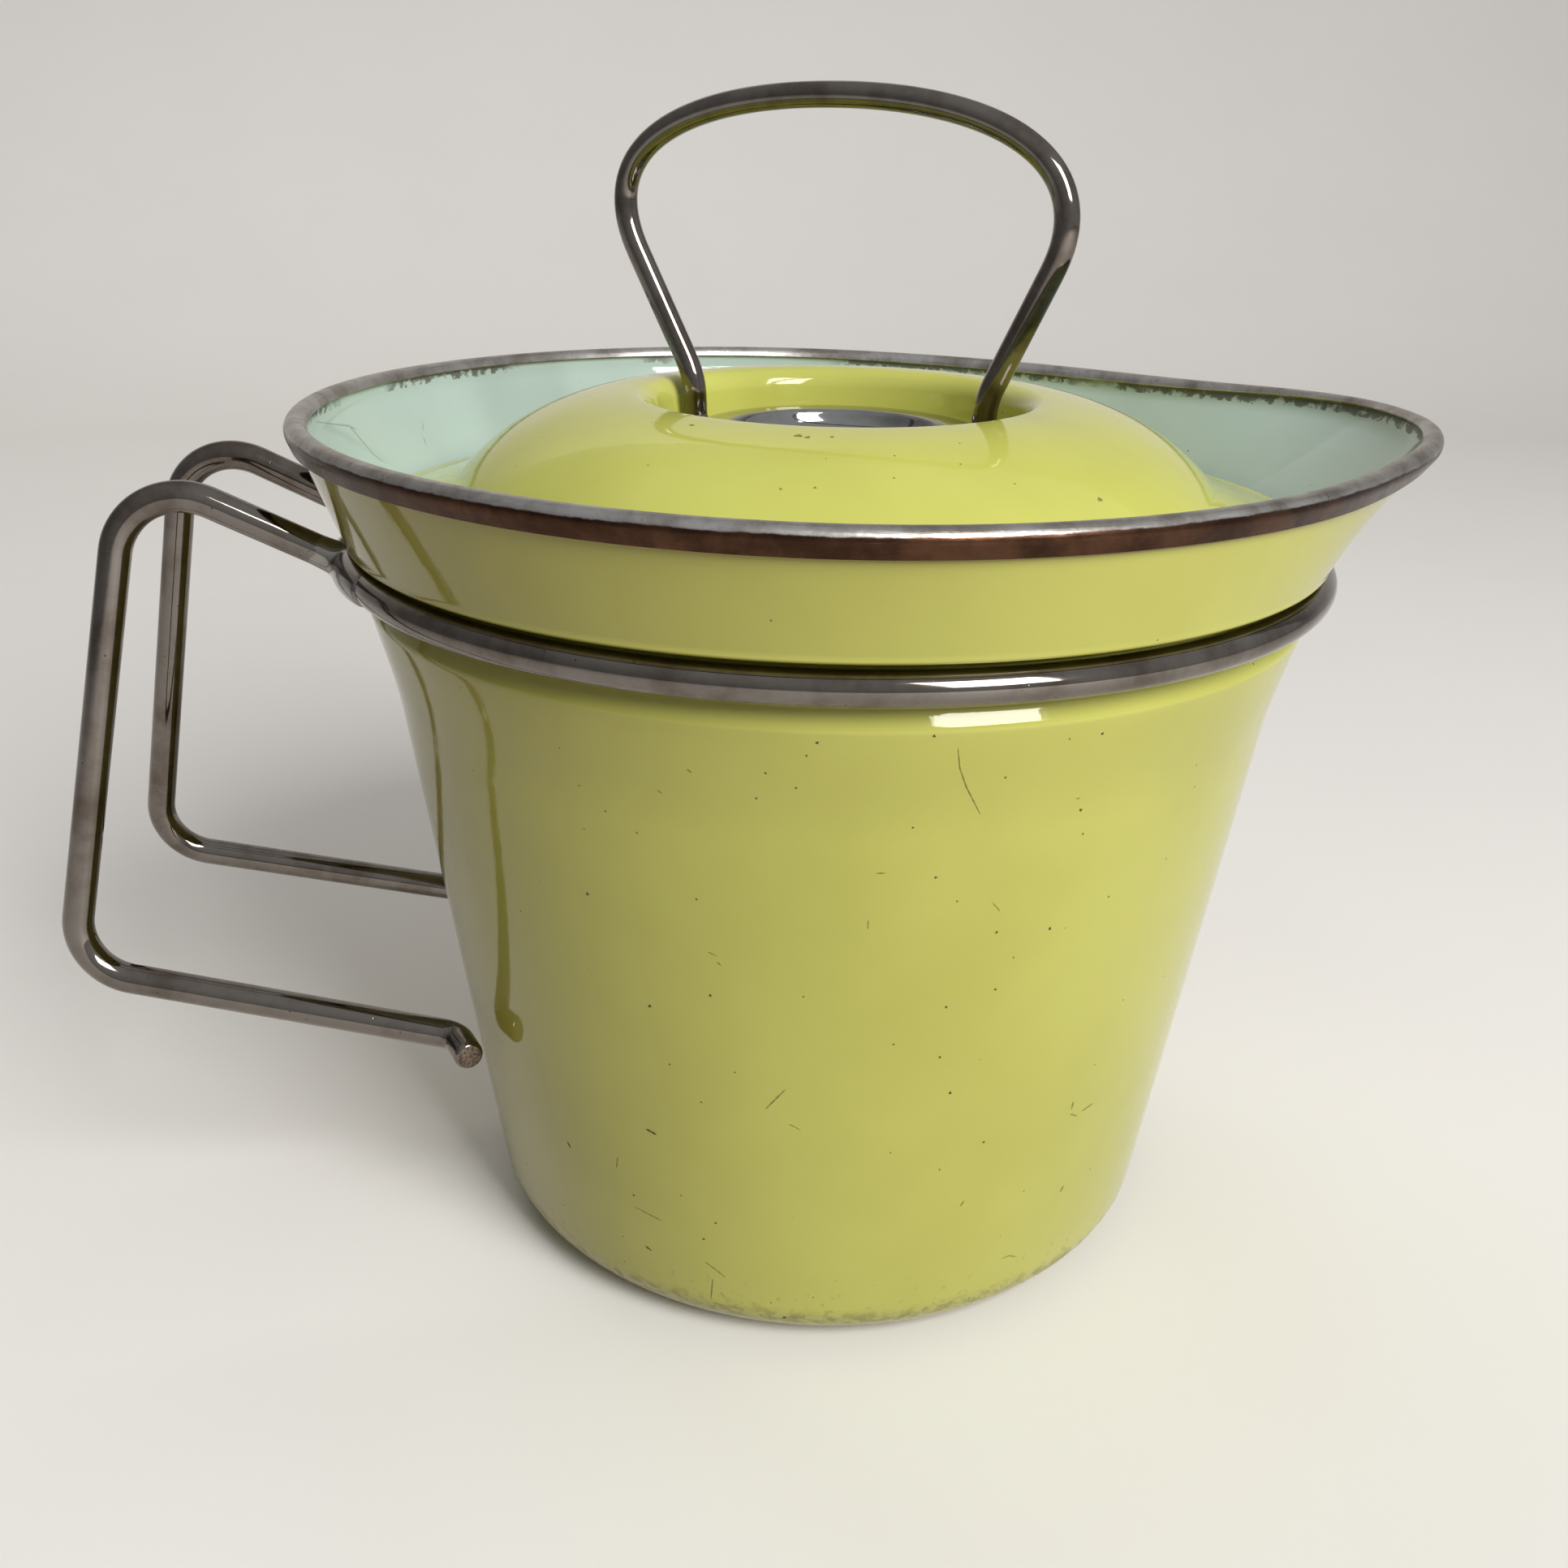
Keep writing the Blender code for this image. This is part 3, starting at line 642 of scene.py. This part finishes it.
def add_spot(bm, place, normal, radius, kind, seed):
    """A small uneven round spot."""
    side = normal.orthogonal().normalized()
    other = normal.cross(side)
    verts = []
    for step in range(9):
        turn = 2 * pi * step / 9
        reach = radius * (1 + 0.25 * sin(step * 2.1 + seed) + 0.15 * sin(step * 4.7 + 2 * seed))
        edge = place + (side * cos(turn) + other * sin(turn)) * reach
        verts.append(bm.verts.new(edge + normal * MARK_LIFT))
    bm.faces.new(verts).material_index = kind


def stroke_line(stroke, surface):
    """Places and outward directions along a stroke, at steps of about half a millimetre."""
    places = []
    normals = []
    for (angle_a, value_a), (angle_b, value_b) in zip(stroke, stroke[1:]):
        length = sqrt((1.2 * (angle_b - angle_a)) ** 2 + (value_b - value_a) ** 2)
        steps = max(2, round(length / 0.5))
        for step in range(steps if (angle_b, value_b) != stroke[-1] else steps + 1):
            share = step / steps
            place, normal = surface(angle_a + (angle_b - angle_a) * share,
                                    value_a + (value_b - value_a) * share)
            places.append(place)
            normals.append(normal)
    return places, normals


def surface_of(line_at, axis, flip):
    """A finder for places on a turned surface, from an angle in degrees and a radius or height in mm."""
    def find(degrees, value):
        angle = radians(degrees)
        line = line_at(angle)
        here = place_on(line, value / 1000, axis)
        near = place_on(line, value / 1000 + 0.0002, axis)
        along = (near - here).normalized() * flip
        normal = Vector((along.y * cos(angle), along.y * sin(angle), -along.x))
        return turned(angle, here), normal
    return find


def make_wear(pale, dark, brown, grey):
    outside = surface_of(lambda angle: side_section(0), 1, 1)
    bm = bmesh.new()
    for kind, strokes in ((0, SCRATCHES), (1, CHIPS)):
        for width, stroke in strokes:
            add_strip(bm, *stroke_line(stroke, outside), width * 0.0008, kind)
    for seed, (radius, degrees, height) in enumerate(PITS):
        add_spot(bm, *outside(degrees, height), radius / 1000, 1, seed)
    inside = surface_of(lambda angle: pan_section(angle)[1][1:], 1, -1)
    for width, stroke in CRACKS:
        add_strip(bm, *stroke_line(stroke, inside), width / 1000, 2)
    finish_mesh("pan_marks", bm, [pale, dark, grey], "pan")
    lid = surface_of(lambda angle: lid_section()[0], 0, -1)
    bm = bmesh.new()
    for seed, (radius, degrees, distance) in enumerate(STAINS):
        add_spot(bm, *lid(degrees, distance), radius / 1000, 0, seed)
    finish_mesh("lid_marks", bm, [brown], "lid")


# Materials


def material_base(name, colour, roughness, metallic):
    material = bpy.data.materials.new(name)
    material.use_nodes = True
    shader = material.node_tree.nodes["Principled BSDF"]
    shader.inputs["Base Color"].default_value = (*colour, 1)
    shader.inputs["Roughness"].default_value = roughness
    shader.inputs["Metallic"].default_value = metallic
    material.diffuse_color = (*colour, 1)
    return material, material.node_tree, shader


def add(tree, kind, inputs=(), **settings):
    """A node with its settings and inputs; an input that is a socket is linked."""
    node = tree.nodes.new(kind)
    for name, value in settings.items():
        setattr(node, name, value)
    for name, value in dict(inputs).items():
        if isinstance(value, bpy.types.NodeSocket):
            tree.links.new(value, node.inputs[name])
        else:
            node.inputs[name].default_value = value
    return node


def calc(tree, operation, first, second=0.0, third=0.0):
    inputs = {0: first, 1: second}
    if operation == "MULTIPLY_ADD":
        inputs[2] = third
    return add(tree, "ShaderNodeMath", inputs, operation=operation).outputs[0]


def ramp(tree, value, low, high):
    """0 below low, 1 above high, smooth between."""
    node = add(tree, "ShaderNodeMapRange", {"Value": value, "From Min": low, "From Max": high},
               interpolation_type="SMOOTHSTEP")
    return node.outputs["Result"]


def mix(tree, share, first, second):
    node = add(tree, "ShaderNodeMix", data_type="RGBA")
    for index, value in ((0, share), (6, first), (7, second)):
        if isinstance(value, bpy.types.NodeSocket):
            tree.links.new(value, node.inputs[index])
        else:
            node.inputs[index].default_value = value if index == 0 else (*value, 1)
    return node.outputs[2]


def noise(tree, vector, scale, detail=3.0, roughness=0.55):
    return add(tree, "ShaderNodeTexNoise", {"Vector": vector, "Scale": scale, "Detail": detail,
                                            "Roughness": roughness}).outputs["Fac"]


def places(tree):
    return add(tree, "ShaderNodeTexCoord").outputs["Object"]


def round_places(tree, along, across):
    """Coordinates that run round the axis, drawn out along the turn, for brushed and rubbed lines."""
    parts = add(tree, "ShaderNodeSeparateXYZ", {0: places(tree)})
    angle = calc(tree, "ARCTAN2", parts.outputs["Y"], parts.outputs["X"])
    flat = add(tree, "ShaderNodeCombineXYZ", {0: parts.outputs["X"], 1: parts.outputs["Y"]})
    radius = add(tree, "ShaderNodeVectorMath", {0: flat.outputs[0]}, operation="LENGTH").outputs["Value"]
    run = calc(tree, "MULTIPLY", angle, along)
    out = calc(tree, "MULTIPLY", radius, across)
    rise = calc(tree, "MULTIPLY", parts.outputs["Z"], across)
    return add(tree, "ShaderNodeCombineXYZ", {0: run, 1: out, 2: rise}).outputs[0]


def specks(tree, vector, scale, size, share):
    """Small round specks where the middle of a cell is near the surface, in a share of the cells."""
    cells = add(tree, "ShaderNodeTexVoronoi", {"Vector": vector, "Scale": scale})
    near = ramp(tree, cells.outputs["Distance"], size, size * 0.6)
    chosen = add(tree, "ShaderNodeSeparateColor", {0: cells.outputs["Color"]}).outputs[0]
    return calc(tree, "MULTIPLY", near, calc(tree, "GREATER_THAN", chosen, 1 - share))


def bumped(tree, shader, height, distance, strength):
    bump = add(tree, "ShaderNodeBump", {"Height": height, "Distance": distance, "Strength": strength})
    tree.links.new(bump.outputs[0], shader.inputs["Normal"])


def enamel(name, colour, deep, worn, gap_shade_strength):
    """Glossy vitreous enamel: faint colour drift, pin specks, a scuffed foot, painted shade at the rim
    band's leg ends and a wavy skin.
    """
    material, tree, shader = material_base(name, colour, 0.1, 0.0)
    vector = places(tree)
    drift = ramp(tree, noise(tree, vector, 22, 3.0), 0.35, 0.7)
    tone = mix(tree, drift, colour, deep)
    dust = specks(tree, vector, 300, 0.06, 0.35)
    z = add(tree, "ShaderNodeSeparateXYZ", {0: vector}).outputs["Z"]
    rise = calc(tree, "MULTIPLY_ADD", noise(tree, vector, 60, 2.0), 0.004, -0.002)
    level = calc(tree, "ADD", z, rise)
    line = calc(tree, "MULTIPLY", ramp(tree, level, 0.0036, 0.0056), ramp(tree, level, 0.0092, 0.0066))
    blotch = ramp(tree, noise(tree, vector, 460, 5.0, 0.7), 0.44, 0.60)
    dots = ramp(tree, noise(tree, vector, 700, 3.0), 0.60, 0.70)
    low = calc(tree, "MULTIPLY", ramp(tree, z, 0.017, 0.004), dots)
    scuff = calc(tree, "MAXIMUM", calc(tree, "MULTIPLY", line, blotch), low)
    scuff = calc(tree, "MULTIPLY", scuff, worn)
    tone = mix(tree, calc(tree, "MULTIPLY", scuff, 0.62), tone, (0.20, 0.19, 0.07))
    # Painted shade: a thin dark line, broken into patches, where the rim band's legs end on the enamel;
    # the enamel is also rougher there.
    edge = add(tree, "ShaderNodeAttribute", attribute_name="band_edge").outputs["Fac"]
    ragged = noise(tree, vector, 620, 4.0, 0.65)
    patch = ramp(tree, noise(tree, vector, 26, 3.0), 0.42, 0.50)
    painted_gap_shade = ramp(tree, calc(tree, "ADD", edge, calc(tree, "MULTIPLY", ragged, 0.3)), 1.09, 1.13)
    painted_gap_shade = calc(tree, "MULTIPLY", painted_gap_shade, patch)
    tone = mix(tree, calc(tree, "MULTIPLY", painted_gap_shade, gap_shade_strength), tone, (0.05, 0.035, 0.025))
    tone = mix(tree, calc(tree, "MULTIPLY", dust, 0.85), tone, (0.08, 0.06, 0.02))
    tree.links.new(tone, shader.inputs["Base Color"])
    rough = calc(tree, "MULTIPLY_ADD", noise(tree, vector, 90, 4.0), 0.07, 0.035)
    rough = calc(tree, "ADD", rough, calc(tree, "MULTIPLY", scuff, 0.35))
    rough = calc(tree, "ADD", rough, calc(tree, "MULTIPLY", painted_gap_shade, 0.4))
    tree.links.new(rough, shader.inputs["Roughness"])
    peel = calc(tree, "MULTIPLY", noise(tree, vector, 520, 2.0), 0.22)
    wave = calc(tree, "MULTIPLY", noise(tree, vector, 44, 1.0), 2.2)
    skin = calc(tree, "SUBTRACT", calc(tree, "ADD", peel, wave), calc(tree, "MULTIPLY", dust, 0.5))
    bumped(tree, shader, skin, 0.00012, 0.5)
    return material


def plating(name, colour, dull, roughness):
    """Old bright plating: faint stains, pin pits, light rubbing and a slightly uneven polish."""
    material, tree, shader = material_base(name, colour, roughness, 1.0)
    vector = places(tree)
    cloud = ramp(tree, noise(tree, vector, 75, 5.0, 0.65), 0.40, 0.68)
    tone = mix(tree, calc(tree, "MULTIPLY", cloud, 0.7), colour, dull)
    pits = specks(tree, vector, 520, 0.10, 0.35)
    rust = ramp(tree, noise(tree, vector, 380, 5.0, 0.75), 0.66, 0.76)
    tone = mix(tree, calc(tree, "MULTIPLY", rust, 0.55), tone, (0.12, 0.075, 0.05))
    tone = mix(tree, calc(tree, "MULTIPLY", pits, 0.8), tone, (0.05, 0.04, 0.035))
    tree.links.new(tone, shader.inputs["Base Color"])
    rough = calc(tree, "MULTIPLY_ADD", noise(tree, vector, 200, 4.0, 0.7), 0.12, roughness - 0.06)
    rough = calc(tree, "ADD", rough, calc(tree, "MULTIPLY", rust, 0.25))
    tree.links.new(rough, shader.inputs["Roughness"])
    skin = calc(tree, "SUBTRACT", noise(tree, vector, 150, 2.0), calc(tree, "MULTIPLY", pits, 0.5))
    bumped(tree, shader, skin, 0.00007, 0.5)
    return material


def band_steel():
    """Dull steel band: a worn crown with a painted sheen, a painted dark brown reflection down its outer
    face, painted glints and lines along its run.
    """
    material, tree, shader = material_base("band_steel", (0.40, 0.37, 0.34), 0.3, 1.0)
    vector = places(tree)
    crown = add(tree, "ShaderNodeAttribute", attribute_name="crown").outputs["Fac"]
    cloud = ramp(tree, noise(tree, vector, 110, 5.0, 0.65), 0.35, 0.68)
    brushed = noise(tree, round_places(tree, 7.2, 2600), 1.0, 3.0, 0.7)
    uneven = calc(tree, "MULTIPLY_ADD", noise(tree, vector, 160, 4.0, 0.7), 0.7, -0.35)
    rubbed_and_sheen = ramp(tree, calc(tree, "ADD", crown, uneven), 0.42, 0.70)
    # Painted reflection: the outer face's dark brown stands in for dark surroundings reflected there;
    # the lighter crown is worn by rubbing and has a painted sheen.
    face = mix(tree, cloud, (0.040, 0.020, 0.012), (0.095, 0.046, 0.026))
    top = mix(tree, cloud, (0.52, 0.50, 0.48), (0.27, 0.24, 0.21))
    tone = mix(tree, rubbed_and_sheen, face, top)
    lines = ramp(tree, brushed, 0.60, 0.72)
    tone = mix(tree, calc(tree, "MULTIPLY", lines, 0.35), tone, (0.10, 0.075, 0.055))
    # Painted glints: bright brushed lines on the crown.
    glints = ramp(tree, brushed, 0.36, 0.28)
    tone = mix(tree, calc(tree, "MULTIPLY", calc(tree, "MULTIPLY", glints, rubbed_and_sheen), 0.4), tone,
               (0.80, 0.79, 0.77))
    stains = ramp(tree, noise(tree, vector, 300, 5.0, 0.75), 0.60, 0.72)
    tone = mix(tree, calc(tree, "MULTIPLY", stains, 0.6), tone, (0.07, 0.045, 0.03))
    tree.links.new(tone, shader.inputs["Base Color"])
    rough = calc(tree, "MULTIPLY_ADD", noise(tree, vector, 300, 4.0, 0.7), 0.30, 0.16)
    tree.links.new(rough, shader.inputs["Roughness"])
    skin = calc(tree, "ADD", noise(tree, vector, 420, 4.0), calc(tree, "MULTIPLY", brushed, 0.7))
    bumped(tree, shader, skin, 0.00008, 0.6)
    return material


def rough_spot(name, colour, dark, metallic=0.0):
    """Bare, broken or stained places: uneven in colour and matt."""
    material, tree, shader = material_base(name, colour, 0.6, metallic)
    vector = places(tree)
    grain = noise(tree, vector, 2200, 4.0, 0.7)
    tree.links.new(mix(tree, ramp(tree, grain, 0.38, 0.62), colour, dark), shader.inputs["Base Color"])
    tree.links.new(calc(tree, "MULTIPLY_ADD", grain, 0.4, 0.35), shader.inputs["Roughness"])
    bumped(tree, shader, noise(tree, vector, 1500, 4.0, 0.7), 0.0003, 0.7)
    return material


# Pieces


def near_leg(angle, point, leg):
    """1 at the end of the rim band's leg, falling to 0 a little below it."""
    top, up, out = rim_frame(angle)
    depth = (top - point).dot(up)
    return min(max(1 - (depth - leg) / 0.0016, 0), 1)


def make_pan(outside, inside):
    first_inner = len(pan_section(0)[0])
    bm, faces = skin_round(lambda angle: sum(pan_section(angle), []), PAN_SEGMENTS, closed=False)
    for index, face in faces:
        face.material_index = int(index >= first_inner)
    piece = finish_mesh("pan_enamel", bm, [outside, inside], "pan", ["pan_body"])
    # band_edge carries the painted shade along the ends of the rim band's legs.
    edge = piece.data.attributes.new("band_edge", "FLOAT", "POINT")
    for vertex, value in zip(piece.data.vertices, edge.data):
        if vertex.co.z < LEDGE_Z:
            continue
        angle = atan2(vertex.co.y, vertex.co.x)
        point = Vector((vertex.co.xy.length, vertex.co.z))
        top, up, out = rim_frame(angle)
        inner = (point - top).dot(out) < -BEAD_HALF
        value.value = near_leg(angle, point, BAND_INNER_LEG if inner else BAND_OUTER_LEG)


def make_band(steel):
    bm, _ = skin_round(band_section, PAN_SEGMENTS, closed=True)
    piece = finish_mesh("rim_trim", bm, [steel], "pan", ["rim_band"])
    # crown splits the band into the crown's painted sheen and the painted reflection down its outer
    # face.
    crown = piece.data.attributes.new("crown", "FLOAT", "POINT")
    for vertex, value in zip(piece.data.vertices, crown.data):
        point = Vector((vertex.co.xy.length, vertex.co.z))
        top, up, out = rim_frame(atan2(vertex.co.y, vertex.co.x))
        fade = min(max(((top - point).dot(up) - 0.0002) / 0.0008, 0), 1)
        value.value = 1 - fade if (point - top).dot(out) > 0 else 1.0


def make_lid(outside, inside):
    top, under = lid_section()
    bm, faces = skin_round(lambda angle: top + under, LID_SEGMENTS, closed=True)
    for index, face in faces:
        face.material_index = int(index >= len(top) - 1)
    finish_mesh("lid_enamel", bm, [outside, inside], "lid", ["lid_shell"])


def make_pieces():
    lime = enamel("lime_enamel", (0.55, 0.56, 0.120), (0.50, 0.505, 0.100), 1.0, 0.5)
    mint = enamel("mint_enamel", (0.455, 0.565, 0.525), (0.40, 0.505, 0.47), 0.0, 0.8)
    wire_plate = plating("plated_wire", (0.205, 0.183, 0.162), (0.090, 0.064, 0.048), 0.08)
    solder = plating("solder", (0.30, 0.28, 0.26), (0.15, 0.125, 0.105), 0.15)
    dish_plate = plating("plated_dish", (0.36, 0.355, 0.35), (0.24, 0.235, 0.225), 0.07)
    zinc = plating("zinc_fixings", (0.50, 0.51, 0.52), (0.38, 0.38, 0.37), 0.34)
    cut_end = rough_spot("cut_end", (0.22, 0.17, 0.13), (0.07, 0.05, 0.035), 0.8)
    make_pan(lime, mint)
    make_band(band_steel())
    make_wire("ring_wire", ring_points(0, pi, RING_SEGMENTS)[:-1], FRAME_WIRE_D, "pan", [wire_plate],
              ["neck_ring"], closed=True)
    for side, word in ((-1, "right"), (1, "left")):
        make_loop("loop_wire_" + word, side, [wire_plate, cut_end], "handle_loop_" + word)
        make_weld("weld_" + word, side, solder)
    make_lid(lime, mint)
    section = plate_section()
    bm, _ = skin_round(lambda angle: section, PLATE_SEGMENTS, closed=False)
    finish_mesh("lid_dish", bm, [dish_plate], "lid", ["lid_handle_plate"])
    make_wire("hoop_wire", hoop_path(), HOOP_WIRE_D, "lid", [wire_plate], ["lid_hoop"])
    make_wear(rough_spot("scratch", (0.30, 0.27, 0.045), (0.19, 0.165, 0.03)),
              rough_spot("bare_chip", (0.11, 0.085, 0.02), (0.035, 0.024, 0.01)),
              rough_spot("brown_stain", (0.32, 0.23, 0.05), (0.21, 0.125, 0.025)),
              rough_spot("hair_crack", (0.36, 0.45, 0.40), (0.27, 0.34, 0.30)))
    for node in ("lid_stud", "lid_washer", "lid_nut"):
        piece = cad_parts[node]
        piece.data.materials.clear()
        piece.data.materials.append(zinc)


# Stage


def seen_rays(tree):
    """1 for the rays that show the surroundings: to the camera, in a reflection or through glass."""
    rays = add(tree, "ShaderNodeLightPath").outputs
    seen = calc(tree, "MAXIMUM", rays["Is Camera Ray"], rays["Is Glossy Ray"])
    return calc(tree, "MAXIMUM", seen, rays["Is Transmission Ray"])


def make_stage():
    material, tree, shader = material_base("pale_floor", (0.76, 0.745, 0.725), 0.6, 0.0)
    seen = seen_rays(tree)
    grain = noise(tree, places(tree), 9, 3.0)
    pale = mix(tree, grain, (0.84, 0.825, 0.805), (0.80, 0.785, 0.765))
    tree.links.new(mix(tree, seen, (0.28, 0.21, 0.13), pale), shader.inputs["Base Color"])
    bm = bmesh.new()
    section = rounded([((FLOOR_FRONT_Y, 0), 0), ((BACKDROP_Y, 0), BACKDROP_BEND_R),
                       ((BACKDROP_Y, BACKDROP_H), 0)], 0.002)
    rows = [[bm.verts.new((x, point.x, point.y)) for point in section]
            for x in (-STAGE_HALF_WIDTH, STAGE_HALF_WIDTH)]
    for index in range(len(section) - 1):
        bm.faces.new((rows[0][index], rows[1][index], rows[1][index + 1], rows[0][index + 1]))
    bmesh.ops.recalc_face_normals(bm, faces=bm.faces)
    mesh = bpy.data.meshes.new("floor")
    bm.to_mesh(mesh)
    bm.free()
    mesh.shade_smooth()
    mesh.materials.append(material)
    floor = bpy.data.objects.new("floor", mesh)
    bpy.context.scene.collection.objects.link(floor)


def add_light(name, place, target, width, height, power, colour):
    lamp = bpy.data.lights.new(name, "AREA")
    lamp.shape = "RECTANGLE"
    lamp.size = width
    lamp.size_y = height
    lamp.energy = power
    lamp.color = colour
    light = bpy.data.objects.new(name, lamp)
    bpy.context.scene.collection.objects.link(light)
    light.location = place
    light.rotation_euler = (Vector(target) - Vector(place)).to_track_quat("-Z", "Y").to_euler()
    return light


def make_lights():
    """A window to the right of the camera, a soft fill behind and a room that is bright above."""
    add_light("window", (0.64, -1.08, 1.00), (0, 0, 0.09), 0.62, 0.85, 26, (1.0, 0.99, 0.97))
    fill = add_light("fill", (-0.45, 1.10, 1.30), (0, 0, 0.06), 1.2, 0.8, 8, (1.0, 0.98, 0.95))
    fill.visible_glossy = False
    world = bpy.data.worlds.new("studio")
    bpy.context.scene.world = world
    world.use_nodes = True
    tree = world.node_tree
    background = tree.nodes["Background"]
    direction = add(tree, "ShaderNodeTexCoord").outputs["Generated"]
    towards = add(tree, "ShaderNodeVectorMath", {0: direction, 1: (0.52, -0.30, 0.80)},
                  operation="DOT_PRODUCT").outputs["Value"]
    sky = ramp(tree, towards, -0.45, 1.0)
    strength = calc(tree, "MULTIPLY_ADD", sky, 0.33, 0.03)
    strength = calc(tree, "MULTIPLY_ADD", seen_rays(tree), 0.18, strength)
    background.inputs[0].default_value = (0.97, 0.985, 1.0, 1)
    tree.links.new(strength, background.inputs[1])


def make_camera():
    camera = bpy.data.cameras.new("camera")
    camera.sensor_width = SENSOR_WIDTH
    camera.lens = SENSOR_WIDTH * FOCAL_PIXELS / PHOTO_PIXELS
    camera.clip_start = 0.01
    holder = bpy.data.objects.new("camera", camera)
    bpy.context.scene.collection.objects.link(holder)
    right = Vector(CAMERA_RIGHT).normalized()
    back = -Vector(CAMERA_FORWARD).normalized()
    turn = Matrix((right, back.cross(right), back)).transposed()
    holder.matrix_world = Matrix.Translation(CAMERA_PLACE) @ turn.to_4x4()
    bpy.context.scene.camera = holder
    bpy.context.scene.view_settings.view_transform = "Standard"


make_camera()
make_pieces()
make_stage()
make_lights()
